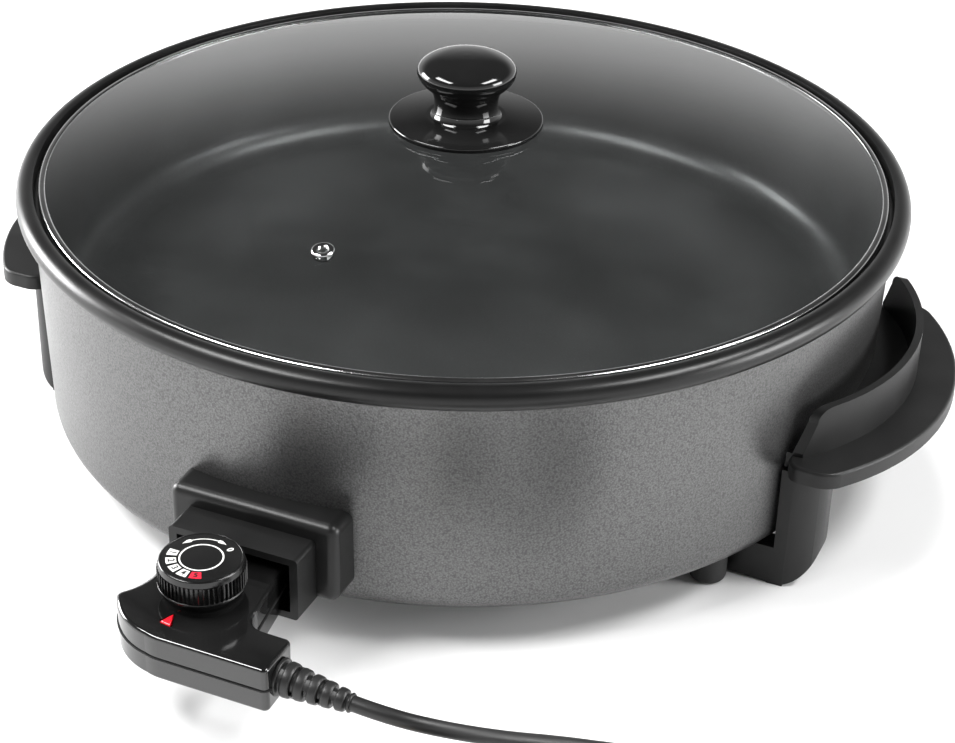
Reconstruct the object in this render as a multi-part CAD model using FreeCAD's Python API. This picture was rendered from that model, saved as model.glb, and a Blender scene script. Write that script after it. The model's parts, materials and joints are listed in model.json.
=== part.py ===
import FreeCAD, Part
import math
import os

V = FreeCAD.Vector

# An electric skillet: a round pan in a painted casing, a lift-off glass lid, two handles on four legs
# and a plug-in temperature control with its cord. Millimetres, +Z up, floor at z = 0.
# Everything is drawn round the pan's axis and moved by pan_axis_y when it is saved, so that the
# origin is the middle of the part's footprint. The control is on the -Y side, the handles on +-X.

# Pan and casing
rim_radius = 223.0
rim_bead_radius = 6.0
rim_bead_z = 139.6
rim_skirt_inside = 216.9
lid_ledge_z = 139.2
lid_ledge_inside = 208.4
lid_ledge_outside = 214.0
cooking_z = 69.0
pan_base_z = 64.0
pan_floor_radius = 186.0
casing_top_radius = 215.6
casing_low_radius = 212.6
casing_top_z = 136.7
casing_bottom_z = 20.8
casing_corner = 11.0
casing_wall = 1.2
casing_opening_radius = 150.0

# Bottom cover and centre stud
cover_radius = 158.0
cover_thickness = 1.0
cover_vent_count = 12
cover_vent_ring = 120.0
cover_screw_ring = 154.0
stud_radius = 3.0

# Heating element and sensor well
element_ring_radius = 125.0
element_radius = 4.0
element_z = 61.5
element_elbow = 16.0
socket_axis_z = 47.0
pin_spacing_half = 14.0
pin_radius = 2.0
lead_end_y = -196.0
bead_length = 4.0
pin_tip_y = -238.0
pin_root_y = -188.0
well_radius = 6.5
well_bore_radius = 3.3
well_mouth_y = -198.0
well_blind_y = -142.0

# Handles, legs and feet, drawn for the +X, -Y corner and mirrored
plate_top = 73.0
plate_thickness = 8.0
plate_arc_centre_x = 124.5
plate_arc_radius = 132.5
plate_half_span = 88.5
plate_outer_round = 14.0
plate_inner_round = 8.0
guard_arc_centre_x = 119.0
guard_arc_radius = 117.0
guard_thickness = 3.6
guard_top = 97.0
guard_half_span = 79.0
leg_front_y = -80.5
leg_back_y = -57.0
leg_outer_x = 218.6
leg_gap_radius = 214.8
leg_corner = 20.0
leg_arm_inner_x = 176.4
leg_arm_back_y = -69.0
foot_centre = (170.0, -87.5)
foot_radius = 9.0

# Socket housing on the casing
flange_half_width = 42.0
flange_front_y = -226.0
flange_low_z = 34.0
flange_top_z = 74.5
shroud_half_width = 32.0
shroud_front_y = -243.0
shroud_top_z = 66.0
slot_half_width = 28.0
slot_low_z = 37.5
slot_top_z = 62.5
slot_back_y = -217.0

# Lid
glass_radius = 210.0
glass_thickness = 4.0
glass_top_z = 168.6
glass_edge_z = 143.9
band_outer_radius = 212.0
band_inner_radius = 208.1
band_low_z = 139.5
band_top_z = 144.4
knob_disc_radius = 38.6
knob_disc_top_z = 171.6
knob_neck_radius = 16.0
knob_radius = 24.5
knob_top_z = 203.2
knob_screw_z = 161.0
eyelet_ring = 138.4
eyelet_angle = -93.5

# Plug-in control
control_low_z = 34.0
control_seam_z = 45.0
control_top_z = 56.0
control_wall = 2.0
control_front_y = -304.0
nose_half_width = 20.5
nose_tip_y = -219.5
nose_root_y = -240.0
nose_low_z = 37.5
nose_top_z = 54.0
probe_radius = 3.0
probe_tip_y = -147.0
sleeve_radius = 2.9
sleeve_bore = 2.15

# Dial
dial_y = -268.5
dial_low_z = 62.5
dial_top_z = 75.0
dial_radius = 19.2
dial_face_radius = 17.2
dial_rib_count = 48
collar_radius = 17.5
collar_top_z = 62.2

# Cord
cord_radius = 3.5
cord_floor_z = 3.6
relief_start = V(49.5, -292.0, 45.0)
relief_length = 34.0
relief_droop_deg = 4.0
coil_centre_x = 240.0
coil_outer_turn = 42.6
coil_pitch = 7.7
coil_layer_turns = 2.0
plug_radius = 18.5
plug_axis_z = 18.6

# Half of what the control reaches further forward than the rim reaches back
pan_axis_y = (-control_front_y - rim_radius) / 2


# Small helpers
def outline(start, steps, place):
    """A closed face from lines (x, y) and arcs (mid x, mid y, x, y), put into space by place."""
    edges = []
    here = place(*start)
    for step in steps:
        there = place(*step[-2:])
        if len(step) == 4:
            edges.append(Part.Arc(here, place(*step[:2]), there).toShape())
        else:
            edges.append(Part.LineSegment(here, there).toShape())
        here = there
    return Part.Face(Part.Wire(edges))


def turned(start, steps):
    face = outline(start, steps, lambda r, z: V(r, 0, z))
    return face.revolve(V(0, 0, 0), V(0, 0, 1), 360)


def upright(start, steps, low, high):
    face = outline(start, steps, lambda x, y: V(x, y, low))
    return face.extrude(V(0, 0, high - low))


def box(x0, x1, y0, y1, z0, z1):
    return Part.makeBox(x1 - x0, y1 - y0, z1 - z0, V(x0, y0, z0))


def rod(start, direction, radius, length):
    return Part.makeCylinder(radius, length, V(*start), V(*direction))


def joined(shapes):
    return shapes[0].fuse(shapes[1:]).removeSplitter()


def without(shape, tools):
    for tool in tools:
        shape = shape.cut(tool)
    return shape


def rounded(shape, radius, chosen):
    edges = [e for e in shape.Edges if chosen(e.CenterOfMass)]
    return shape.makeFillet(radius, edges)


def about_axis(shape, degrees):
    copy = shape.copy()
    copy.rotate(V(0, 0, 0), V(0, 0, 1), degrees)
    return copy


def mirror_x(shape):
    return shape.mirror(V(0, 0, 0), V(1, 0, 0))


def mirror_y(shape):
    return shape.mirror(V(0, 0, 0), V(0, 1, 0))


def four_corners(shape):
    return [shape, mirror_y(shape), mirror_x(shape), mirror_x(mirror_y(shape))]


def screw(head_seat, direction, shank_radius, length, head_radius, head_height):
    """A screw whose head sits with its underside at head_seat and whose shank goes along direction."""
    seat = V(*head_seat)
    way = V(*direction)
    way.normalize()
    shank = Part.makeCylinder(shank_radius, length, seat, way)
    head = Part.makeCylinder(head_radius, head_height, seat - way * head_height, way)
    head = without(head, [Part.makeCylinder(head_radius * 0.4, head_height * 0.5, seat - way * head_height, way)])
    return shank.fuse(head).removeSplitter()


def bent_path(points, name=""):
    """Straight runs joined by tangent arcs, each as large as its two runs allow."""
    edges = []
    here = points[0]
    radii = []
    for before, corner, after in zip(points, points[1:], points[2:]):
        to_corner = corner - before
        from_corner = after - corner
        run = min(to_corner.Length, from_corner.Length)
        to_corner.normalize()
        from_corner.normalize()
        turn = to_corner.getAngle(from_corner)
        reach = 0.45 * run
        radius = reach / math.tan(turn / 2)
        arc_start = corner - to_corner * reach
        arc_end = corner + from_corner * reach
        inward = from_corner - to_corner
        inward.normalize()
        middle = corner + inward * (radius / math.cos(turn / 2) - radius)
        edges.append(Part.LineSegment(here, arc_start).toShape())
        edges.append(Part.Arc(arc_start, middle, arc_end).toShape())
        here = arc_end
        radii.append(radius)
    edges.append(Part.LineSegment(here, points[-1]).toShape())
    if name:
        print(name, "bend radii mm", [round(r, 1) for r in radii])
    return Part.Wire(edges)


def swept(wire, radius):
    first = wire.OrderedEdges[0]
    start = first.valueAt(first.FirstParameter)
    way = first.tangentAt(first.FirstParameter)
    ring = Part.Wire(Part.makeCircle(radius, start, way))
    return wire.makePipeShell([ring], True, False)


def tube_along(points, radius, name):
    wire = bent_path(points, name)
    tube = swept(wire, radius)
    ideal = math.pi * radius**2 * wire.Length
    print(name, "length", round(wire.Length, 1), "volume share", round(tube.Volume / ideal, 4))
    return tube


# Pan, casing and what closes them below
def casing_outside(low, high, grown=0.0):
    """The space inside the casing's outer wall, to cut what stands against it."""
    slope = (casing_top_radius - casing_low_radius) / (casing_top_z - casing_bottom_z - casing_corner)
    corner_z = casing_bottom_z + casing_corner
    low_radius = casing_low_radius + slope * (low - corner_z) + grown
    high_radius = casing_low_radius + slope * (high - corner_z) + grown
    return Part.makeCone(low_radius, high_radius, high - low, V(0, 0, low))


def centre_stud():
    return rod((0, 0, casing_bottom_z - 6.8), (0, 0, 1), stud_radius, pan_base_z - casing_bottom_z + 9)


def centre_nut():
    nut = Part.makePolygon([V(6 * math.cos(math.radians(a)), 6 * math.sin(math.radians(a)), 14.8)
                            for a in range(0, 361, 60)])
    nut = Part.Face(nut).extrude(V(0, 0, 4))
    washer = rod((0, 0, 18.8), (0, 0, 1), 9, 1)
    return without(joined([nut, washer]), [centre_stud()])


def element_path():
    """One lead, the elbow, the ring, the other elbow and the other lead."""
    reach = element_ring_radius + element_elbow
    elbow_x = pin_spacing_half + element_elbow
    elbow_y = -math.sqrt(reach**2 - elbow_x**2)
    share = element_ring_radius / reach
    ring_start = V(elbow_x * share, elbow_y * share, element_z)
    lead_top = V(pin_spacing_half, elbow_y, element_z)
    elbow = V(elbow_x, elbow_y, element_z)
    half = ring_start + lead_top - elbow * 2
    half.normalize()
    middle = elbow + half * element_elbow
    lead = bent_path([V(pin_spacing_half, lead_end_y, socket_axis_z), V(pin_spacing_half, -172, socket_axis_z),
                      V(pin_spacing_half, -152, element_z), lead_top])
    first_elbow = Part.Arc(lead_top, middle, ring_start).toShape()
    ring_end = V(-ring_start.x, ring_start.y, element_z)
    ring = Part.Arc(ring_start, V(0, element_ring_radius, element_z), ring_end).toShape()
    last_elbow = mirror_x(first_elbow)
    last_lead = mirror_x(lead)
    edges = lead.Edges + [first_elbow, ring, last_elbow] + last_lead.Edges
    return Part.Wire(Part.__sortEdges__(edges))


def terminal_pins():
    length = pin_root_y - pin_tip_y
    pins = [rod((side * pin_spacing_half, pin_root_y, socket_axis_z), (0, -1, 0), pin_radius, length - 2)
            .fuse(Part.makeCone(pin_radius, 0.8, 2, V(side * pin_spacing_half, pin_tip_y + 2, socket_axis_z),
                                V(0, -1, 0)))
            for side in (-1, 1)]
    return Part.makeCompound([pin.removeSplitter() for pin in pins])


def heating_element(pins):
    path = element_path()
    tube = swept(path, element_radius)
    return tube.cut(pins)


def pin_beads(pins):
    beads = [rod((side * pin_spacing_half, lead_end_y, socket_axis_z), (0, -1, 0), 4.6, bead_length)
             for side in (-1, 1)]
    return Part.makeCompound([bead.cut(pins) for bead in beads])


def sensor_well():
    barrel = rod((0, well_mouth_y, socket_axis_z), (0, 1, 0), well_radius, well_blind_y - well_mouth_y)
    web = box(-4, 4, well_mouth_y + 22, well_blind_y, socket_axis_z, pan_base_z)
    bore = rod((0, well_mouth_y, socket_axis_z), (0, 1, 0), well_bore_radius, well_blind_y - well_mouth_y - 3)
    return joined([barrel, web]).cut(bore)


def inner_pan(element, stud):
    corner = cooking_z + 18

    def bead(degrees):
        angle = math.radians(degrees)
        return (rim_radius - rim_bead_radius + rim_bead_radius * math.cos(angle),
                rim_bead_z + rim_bead_radius * math.sin(angle))

    pan = turned(
        (0, cooking_z),
        [(pan_floor_radius, cooking_z),
         (198.7, 74.3, pan_floor_radius + 18, corner),
         (lid_ledge_inside, lid_ledge_z),
         (lid_ledge_outside, lid_ledge_z),
         bead(115),
         (*bead(60), *bead(0)),
         (*bead(-35), *bead(-75)),
         (rim_skirt_inside, bead(-75)[1]),
         (rim_skirt_inside, casing_top_z),
         (lid_ledge_inside + 3.2, casing_top_z),
         (207.2, corner - 2),
         (201.0, 70.1, pan_floor_radius, pan_base_z),
         (0, pan_base_z),
         (0, cooking_z)])
    return without(pan, [element, stud])


def outer_casing(cuts):
    corner_x = casing_low_radius - casing_corner
    corner_z = casing_bottom_z + casing_corner
    slant = math.sqrt(0.5)
    inside = casing_corner - casing_wall
    casing = turned(
        (casing_top_radius, casing_top_z),
        [(casing_low_radius, corner_z),
         (corner_x + casing_corner * slant, corner_z - casing_corner * slant, corner_x, casing_bottom_z),
         (casing_opening_radius, casing_bottom_z),
         (casing_opening_radius, casing_bottom_z + casing_wall),
         (corner_x, casing_bottom_z + casing_wall),
         (corner_x + inside * slant, corner_z - inside * slant, corner_x + inside, corner_z),
         (casing_top_radius - casing_wall, casing_top_z),
         (casing_top_radius, casing_top_z)])
    return without(casing, cuts)


def bottom_cover(cuts):
    cover = rod((0, 0, casing_bottom_z - cover_thickness), (0, 0, 1), cover_radius, cover_thickness)
    vent = rod((cover_vent_ring, 0, casing_bottom_z - 2), (0, 0, 1), 4, 3)
    vents = [about_axis(vent, 15 + i * 360 / cover_vent_count) for i in range(cover_vent_count)]
    return without(cover, vents + cuts)


def cover_screws():
    one = screw((cover_screw_ring, 0, casing_bottom_z - cover_thickness), (0, 0, 1), 1.6, 5, 3.2, 1.8)
    return Part.makeCompound([about_axis(one, 45 + 90 * i) for i in range(4)])


# Handles, legs and feet
def side_handle(screws):
    low = plate_top - plate_thickness
    end_x = plate_arc_centre_x + math.sqrt(plate_arc_radius**2 - plate_half_span**2)
    reach_x = plate_arc_centre_x + plate_arc_radius
    plate = upright(
        (202, -plate_half_span),
        [(end_x, -plate_half_span),
         (reach_x, 0, end_x, plate_half_span),
         (202, plate_half_span),
         (202, -plate_half_span)],
        low, plate_top)
    plate = rounded(plate, plate_outer_round, lambda c: abs(c.x - end_x) < 0.1 and abs(c.z - low - 4) < 0.1)
    plate = rounded(plate, plate_inner_round,
                    lambda c: abs(c.x - 202) < 0.1 and abs(abs(c.y) - plate_half_span) < 0.1)
    root = box(185, 206, -77, 77, low, plate_top)
    plate = joined([plate, root])
    plate = rounded(plate, 1.6, lambda c: abs(c.z - plate_top) < 0.01 and c.x > 207)
    centre = V(guard_arc_centre_x, 0, low + 1)
    outer = Part.makeCylinder(guard_arc_radius + guard_thickness / 2, guard_top - low, centre)
    inner = Part.makeCylinder(guard_arc_radius - guard_thickness / 2, guard_top - low, centre)
    face = outline(
        (-guard_half_span, low + 1),
        [(-guard_half_span, plate_top + 2),
         (-guard_half_span + 5, guard_top - 7),
         (-guard_half_span + 7.5, guard_top - 1.6, -guard_half_span + 12, guard_top),
         (guard_half_span - 12, guard_top),
         (guard_half_span - 7.5, guard_top - 1.6, guard_half_span - 5, guard_top - 7),
         (guard_half_span, plate_top + 2),
         (guard_half_span, low + 1),
         (-guard_half_span, low + 1)],
        lambda y, z: V(190, y, z))
    guard = outer.cut(inner).common(face.extrude(V(60, 0, 0)))
    handle = joined([plate, guard])
    return without(handle, [casing_outside(low - 5, guard_top + 5), screws])


def handle_screws():
    """Two for each handle, put in from inside the casing and lying square to its wall."""
    screws = []
    for degrees in (-12, 12, 168, 192):
        one = screw((213.4 - casing_wall, 0, plate_top - plate_thickness / 2), (1, 0, 0), 1.8, 12, 3.4, 2.2)
        screws.append(about_axis(one, degrees))
    return Part.makeCompound(screws)


def corner_leg(fixings):
    plan = upright(
        (197, leg_front_y),
        [(leg_outer_x - 14.0, leg_front_y),
         (leg_outer_x - 4.3, -75.2, leg_outer_x, -62.5),
         (leg_outer_x, leg_back_y),
         (197, leg_back_y),
         (197, leg_front_y)],
        0, plate_top - plate_thickness)
    slant = leg_corner * math.sqrt(0.5)
    face = outline(
        (197, 0),
        [(leg_outer_x - leg_corner, 0),
         (leg_outer_x - leg_corner + slant, leg_corner - slant, leg_outer_x, leg_corner),
         (leg_outer_x + 1, plate_top),
         (197, plate_top),
         (197, 0)],
        lambda x, z: V(x, leg_front_y - 1, z))
    post = plan.common(face.extrude(V(0, 30, 0)))
    hollow = Part.makeCylinder(leg_gap_radius, plate_top, V(0, 0, casing_bottom_z))
    post = post.cut(hollow)
    arm_face = outline(
        (leg_arm_inner_x, 1.4),
        [(190, 1.1, 200, 0),
         (205, 0),
         (205, casing_bottom_z),
         (leg_arm_inner_x, casing_bottom_z),
         (leg_arm_inner_x, 1.4)],
        lambda x, z: V(x, leg_front_y, z))
    arm = arm_face.extrude(V(0, leg_arm_back_y - leg_front_y, 0))
    return without(joined([post, arm]), fixings)


def corner_foot(fixings):
    edge = foot_radius - 3.5
    foot = turned(
        (0, 0),
        [(edge, 0),
         (edge + 3.5 * math.sqrt(0.5), 3.5 - 3.5 * math.sqrt(0.5), foot_radius, 3.5),
         (foot_radius, casing_bottom_z),
         (0, casing_bottom_z),
         (0, 0)])
    foot.translate(V(foot_centre[0], foot_centre[1], 0))
    return without(foot, fixings)


def underside_fixing(x, y, seat_z):
    """A screw up through a leg or foot into the casing floor, and the hole that its head goes in by."""
    one = screw((x, y, seat_z), (0, 0, 1), 1.9, casing_bottom_z + 5 - seat_z, 3.6, 2.4)
    mouth = rod((x, y, -1), (0, 0, 1), 4.0, seat_z - 2.4 + 1)
    head = rod((x, y, seat_z - 2.4), (0, 0, 1), 4.0, 2.4)
    return one, [mouth, head]


# Socket housing
def socket_screws():
    screws = []
    for degrees in (-99.6, -80.4):
        for z in (41.0, 68.0):
            one = screw((212.9 + (z - 31.8) * 0.029 - casing_wall, 0, z), (1, 0, 0), 1.5, 9, 2.8, 2)
            screws.append(about_axis(one, degrees))
    return Part.makeCompound(screws)


def socket_housing(pins, screws):
    flange = box(-flange_half_width, flange_half_width, flange_front_y, -200, flange_low_z, flange_top_z)
    middle_z = (flange_low_z + flange_top_z) / 2
    flange = rounded(flange, 5.0, lambda c: abs(abs(c.x) - flange_half_width) < 0.1
                     and abs(abs(c.z - middle_z) - (flange_top_z - flange_low_z) / 2) < 0.1)
    flange = rounded(flange, 4.5, lambda c: abs(c.y - flange_front_y) < 0.1)
    flange = flange.cut(casing_outside(flange_low_z - 5, flange_top_z + 5))
    shroud = box(-shroud_half_width, shroud_half_width, shroud_front_y, flange_front_y + 1, flange_low_z,
                 shroud_top_z)
    shroud = rounded(shroud, 2.0, lambda c: abs(abs(c.x) - shroud_half_width) < 0.1
                     and (abs(c.z - shroud_top_z) < 0.1 or abs(c.z - flange_low_z) < 0.1))
    inlet = box(-slot_half_width + 1, slot_half_width - 1, -214, -203, 39.5, 58)
    slot = box(-slot_half_width, slot_half_width, shroud_front_y - 1, slot_back_y, slot_low_z, slot_top_z)
    probe_way = rod((0, -250, socket_axis_z), (0, 1, 0), probe_radius + 1, 60)
    return without(joined([flange, shroud, inlet]), [slot, probe_way, pins, screws])


# Lid
def glass_ball(top_z):
    sag = glass_top_z - glass_edge_z
    radius = (glass_radius**2 + sag**2) / (2 * sag)
    drop = glass_top_z - top_z
    return Part.makeSphere(radius - drop, V(0, 0, glass_top_z - radius))


def lid_glass(cuts):
    column = Part.makeCylinder(glass_radius, 40, V(0, 0, 140))
    dome = glass_ball(glass_top_z).cut(glass_ball(glass_top_z - glass_thickness))
    return without(dome.common(column), cuts)


def lid_band(glass):
    band = turned(
        (band_inner_radius, band_low_z),
        [(band_outer_radius - 0.8, band_low_z),
         (band_outer_radius - 0.2, band_low_z + 0.3, band_outer_radius, band_low_z + 0.9),
         (band_outer_radius, band_top_z - 1.2),
         (band_outer_radius - 0.5, band_top_z - 0.3, band_outer_radius - 1.4, band_top_z),
         (band_inner_radius + 0.3, band_top_z),
         (band_inner_radius, band_top_z - 0.4),
         (band_inner_radius, band_low_z)])
    return band.cut(glass)


def on_glass(shape):
    """Tilt and move a fitting drawn at the origin to the vent's place on the dome."""
    sag = glass_top_z - glass_edge_z
    ball = (glass_radius**2 + sag**2) / (2 * sag)
    tilt = math.asin(eyelet_ring / ball)
    copy = shape.copy()
    copy.rotate(V(0, 0, 0), V(0, 1, 0), math.degrees(tilt))
    copy.translate(V(eyelet_ring, 0, glass_top_z - ball + ball * math.cos(tilt)))
    return about_axis(copy, eyelet_angle)


def vent_eyelet():
    low = -glass_thickness
    collar = turned(
        (2.0, low - 1.0),
        [(4.6, low - 1.0),
         (4.6, low - 0.1),
         (3.3, low - 0.1),
         (3.3, 0.1),
         (5.5, 0.1),
         (5.2, 1.1, 3.8, 1.5),
         (2.9, 1.3, 2.0, 0.4),
         (2.0, low - 1.0)])
    return on_glass(collar)


def eyelet_hole():
    return on_glass(rod((0, 0, -10), (0, 0, 1), 3.3, 20))


def knob_disc(cuts):
    disc = turned(
        (0, knob_disc_top_z - 8),
        [(knob_disc_radius - 0.6, knob_disc_top_z - 8),
         (knob_disc_radius, knob_disc_top_z - 2.4),
         (knob_disc_radius - 0.4, knob_disc_top_z - 1.2, knob_disc_radius - 2.0, knob_disc_top_z - 0.9),
         (knob_neck_radius + 3, knob_disc_top_z),
         (0, knob_disc_top_z),
         (0, knob_disc_top_z - 8)])
    return without(disc, [glass_ball(glass_top_z)] + cuts)


def lid_knob(cuts):
    knob = turned(
        (0, knob_disc_top_z),
        [(knob_neck_radius + 1.4, knob_disc_top_z),
         (knob_neck_radius + 0.3, knob_disc_top_z + 0.5, knob_neck_radius, knob_disc_top_z + 2),
         (knob_neck_radius - 0.6, knob_disc_top_z + 8),
         (knob_neck_radius + 1.2, knob_top_z - 18.5, 20.6, knob_top_z - 13.6),
         (knob_radius, knob_top_z - 7.5, 21.4, knob_top_z - 2.4),
         (13.4, knob_top_z - 0.6, 4.0, knob_top_z),
         (0, knob_top_z),
         (0, knob_disc_top_z)])
    return without(knob, cuts)


def knob_fixings():
    insert = rod((0, 0, knob_disc_top_z), (0, 0, 1), 4.5, 14)
    bolt = screw((0, 0, knob_screw_z), (0, 0, 1), 2.5, 22, 5.0, 3.0)
    washer = rod((0, 0, knob_screw_z), (0, 0, 1), 11, 1.2).cut(bolt)
    under_glass = glass_ball(glass_top_z - glass_thickness)
    seal = rod((0, 0, knob_screw_z + 1.2), (0, 0, 1), 12, 5).common(under_glass).cut(bolt)
    return insert.cut(bolt), bolt, washer, seal


# Plug-in control
control_outline_start = (18.4, -233.5)
control_outline_steps = [
    (-18.4, -233.5),
    (-20.7, -234.4, -21.8, -236.6),
    (-26.6, -262.0),
    (-27.6, -272.5, -32.4, -281.4),
    (-33.2, -283.4, -32.6, -285.6),
    (-22.6, -296.9, -8.6, -302.9),
    (-5.4, -303.7, -2.0, control_front_y),
    (47.0, control_front_y),
    (49.3, -303.1, 50.0, -300.8),
    (49.6, -284.0),
    (48.8, -281.2, 46.0, -280.2),
    (35.0, -280.0),
    (28.4, -276.6, 26.4, -269.0),
    (21.8, -236.6),
    (20.7, -234.4, 18.4, -233.5)]

housing_posts = [(-20.5, -284.5), (43.0, -286.5), (16.5, -251.0)]


def control_inside():
    """The outline drawn in by the wall thickness."""
    face = outline(control_outline_start, control_outline_steps, lambda x, y: V(x, y, 0))
    return face.makeOffset2D(-control_wall, 0, False, False, False)


def housing_half(low, high, cavity_low, cavity_high, nose_low, nose_high):
    body = upright(control_outline_start, control_outline_steps, low, high)
    edge_z = high if high == control_top_z else low
    body = rounded(body, 1.8, lambda c: abs(c.z - edge_z) < 0.01)
    inside = control_inside()
    inside.translate(V(0, 0, cavity_low))
    cavity = inside.extrude(V(0, 0, cavity_high - cavity_low))
    nose = box(-nose_half_width, nose_half_width, nose_root_y, nose_tip_y, nose_low, nose_high)
    posts = [rod((x, y, cavity_low), (0, 0, 1), 3.4, cavity_high - cavity_low) for x, y in housing_posts]
    return joined([body.cut(cavity), nose] + posts)


def control_screws():
    screws = [screw((x, y, control_low_z + 2.4), (0, 0, 1), 1.3, 15, 2.6, 1.8) for x, y in housing_posts]
    return Part.makeCompound(screws)


def control_upper(cuts):
    shell = housing_half(control_seam_z, control_top_z, control_seam_z, control_top_z - control_wall,
                         control_seam_z, nose_top_z)
    step = rod((0, dial_y, control_top_z - 0.5), (0, 0, 1), collar_radius, 2.9)
    ring = rod((0, dial_y, control_top_z - 0.5), (0, 0, 1), collar_radius - 1.8, collar_top_z - control_top_z + 0.5)
    bore = rod((0, dial_y, 50), (0, 0, 1), 3.3, 20)
    return without(joined([shell, step, ring]), [bore] + cuts)


def control_lower(cuts):
    """Its underside steps up where the neck passes over the shroud's lower lip."""
    shell = housing_half(control_low_z, control_seam_z, control_low_z + control_wall, control_seam_z,
                         nose_low_z, control_seam_z)
    lip_y = shroud_front_y - 1.2
    lip_z = slot_low_z + 0.5
    step = box(-20, 20, lip_y - control_wall, -235, control_low_z, lip_z + control_wall)
    shell = joined([shell, step]).cut(box(-30, 30, lip_y, -200, control_low_z - 1, lip_z))
    mouths = [rod((x, y, control_low_z - 1), (0, 0, 1), 3.0, 1.6) for x, y in housing_posts]
    return without(shell, mouths + cuts)


def sensing_probe():
    body = rod((0, nose_root_y - 4, socket_axis_z), (0, 1, 0), probe_radius, probe_tip_y - nose_root_y + 4 - 2)
    tip = Part.makeCone(probe_radius, 1.2, 2, V(0, probe_tip_y - 2, socket_axis_z), V(0, 1, 0))
    return joined([body, tip])


def contact_sleeves():
    sleeves = []
    for side in (-1, 1):
        start = (side * pin_spacing_half, nose_tip_y, socket_axis_z)
        length = nose_tip_y - nose_root_y + 2
        sleeves.append(rod(start, (0, -1, 0), sleeve_radius, length).cut(rod(start, (0, -1, 0), sleeve_bore, 19.5)))
    return Part.makeCompound(sleeves)


def pointer_lens():
    lens = Part.makePolygon([V(-3.6, -286.2, 53.0), V(-7.4, -292.8, 53.0), V(0.2, -294.6, 53.0),
                             V(-3.6, -286.2, 53.0)])
    return Part.Face(lens).extrude(V(0, 0, control_top_z + 0.5 - 53.0))


def pilot_lamp():
    return rod((-3.6, -291.3, 38.0), (0, 0, 1), 2.2, 14.0)


def switch_block():
    block = box(-15, 10, -264, -247, control_low_z + control_wall, 42)
    return block


def bimetal_strip():
    strip = box(-3, 3, -262, -245, 42, 43)
    return strip


def contact_leaf():
    leaf = box(-12, -6, -262, -248, 42, 42.6)
    point = rod((-9, -250, 42.6), (0, 0, 1), 1.6, 1.2)
    return joined([leaf, point])


def cord_clamp():
    return box(34, 42, -298.5, -290, control_low_z + control_wall, 40.5)


# Dial
def dial_spindle():
    return rod((0, dial_y, 47.5), (0, 0, 1), 3.0, 22)


def temperature_dial(spindle):
    points = []
    for i in range(dial_rib_count * 2 + 1):
        radius = dial_radius if i % 2 else dial_radius - 0.7
        angle = math.pi * i / dial_rib_count
        points.append(V(radius * math.cos(angle), dial_y + radius * math.sin(angle), dial_low_z))
    skirt = Part.Face(Part.makePolygon(points)).extrude(V(0, 0, 9.8))
    cap = Part.makeCone(dial_radius - 0.5, dial_face_radius + 0.5, dial_top_z - 0.5 - dial_low_z - 9.8,
                        V(0, dial_y, dial_low_z + 9.8))
    return joined([skirt, cap]).cut(spindle)


def dial_face():
    return rod((0, dial_y, dial_top_z - 0.5), (0, 0, 1), dial_face_radius, 0.5)


# Cord, coil and plug
def relief_way():
    droop = math.radians(relief_droop_deg)
    return V(math.cos(droop), 0, -math.sin(droop))


def strain_relief():
    steps = [(5.4, 0)]
    slices = 4
    pitch = 6.6
    for i in range(slices):
        z = 3 + i * pitch
        fat = 7.9 - 0.45 * i
        thin = fat - 1.5
        steps += [(thin, z), (fat, z + 0.8), (fat, z + pitch - 2.2), (thin, z + pitch - 1.4)]
    steps += [(6.1, relief_length - 1), (5.2, relief_length), (0, relief_length), (0, 0)]
    relief = turned((0, 0), steps)
    relief.rotate(V(0, 0, 0), V(0, 1, 0), 90 + relief_droop_deg)
    relief.translate(relief_start)
    return relief


relief_end = relief_start + relief_way() * relief_length
coil_start = V(coil_centre_x, -224.9, cord_floor_z)
coil_centre = V(coil_centre_x, coil_start.y - coil_outer_turn, 0)

# The cord's visible stretch, from the strain relief down to the floor and on to the coil
cord_route = [
    relief_end,
    relief_end + relief_way() * 17,
    V(121.0, -281.5, 34.0),
    V(139.5, -265.0, 23.5),
    V(157.5, -245.5, 12.5),
    V(175.5, -231.5, 4.6),
    V(196.0, -224.6, cord_floor_z),
    V(217.0, -225.5, cord_floor_z),
    coil_start - V(7, 0, 0)]


def supply_cord():
    return tube_along(cord_route, cord_radius, "supply_cord")


def coil_point(turn):
    """The coil's centreline: in on the floor, up where it reverses, and out again on top."""
    climb = 0.5
    inner = coil_outer_turn - coil_pitch * coil_layer_turns
    top = cord_floor_z + coil_pitch
    if turn <= coil_layer_turns:
        radius = coil_outer_turn - coil_pitch * turn
        height = cord_floor_z
    elif turn <= coil_layer_turns + climb:
        past = turn - coil_layer_turns
        radius = inner - coil_pitch * past + coil_pitch * past**2 / climb
        share = past / climb
        height = cord_floor_z + coil_pitch * share * share * (3 - 2 * share)
    else:
        radius = inner + coil_pitch * (turn - coil_layer_turns - climb)
        height = top
    angle = math.pi / 2 - 2 * math.pi * turn
    return V(coil_centre.x + radius * math.cos(angle), coil_centre.y + radius * math.sin(angle), height)


def coil_tangent(turn):
    step = 1e-4
    way = coil_point(turn + step) - coil_point(turn - step)
    way.normalize()
    return way


def arc_from(start, handle, end):
    """The arc from start to end whose end tangents meet at handle."""
    chord_mid = (start + end) * 0.5
    lift = handle - chord_mid
    half_chord = (end - start).Length / 2
    half_turn = math.atan2(lift.Length, half_chord)
    share = math.tan(half_turn / 2) / math.tan(half_turn)
    return Part.Arc(start, chord_mid + lift * share, end).toShape()


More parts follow.
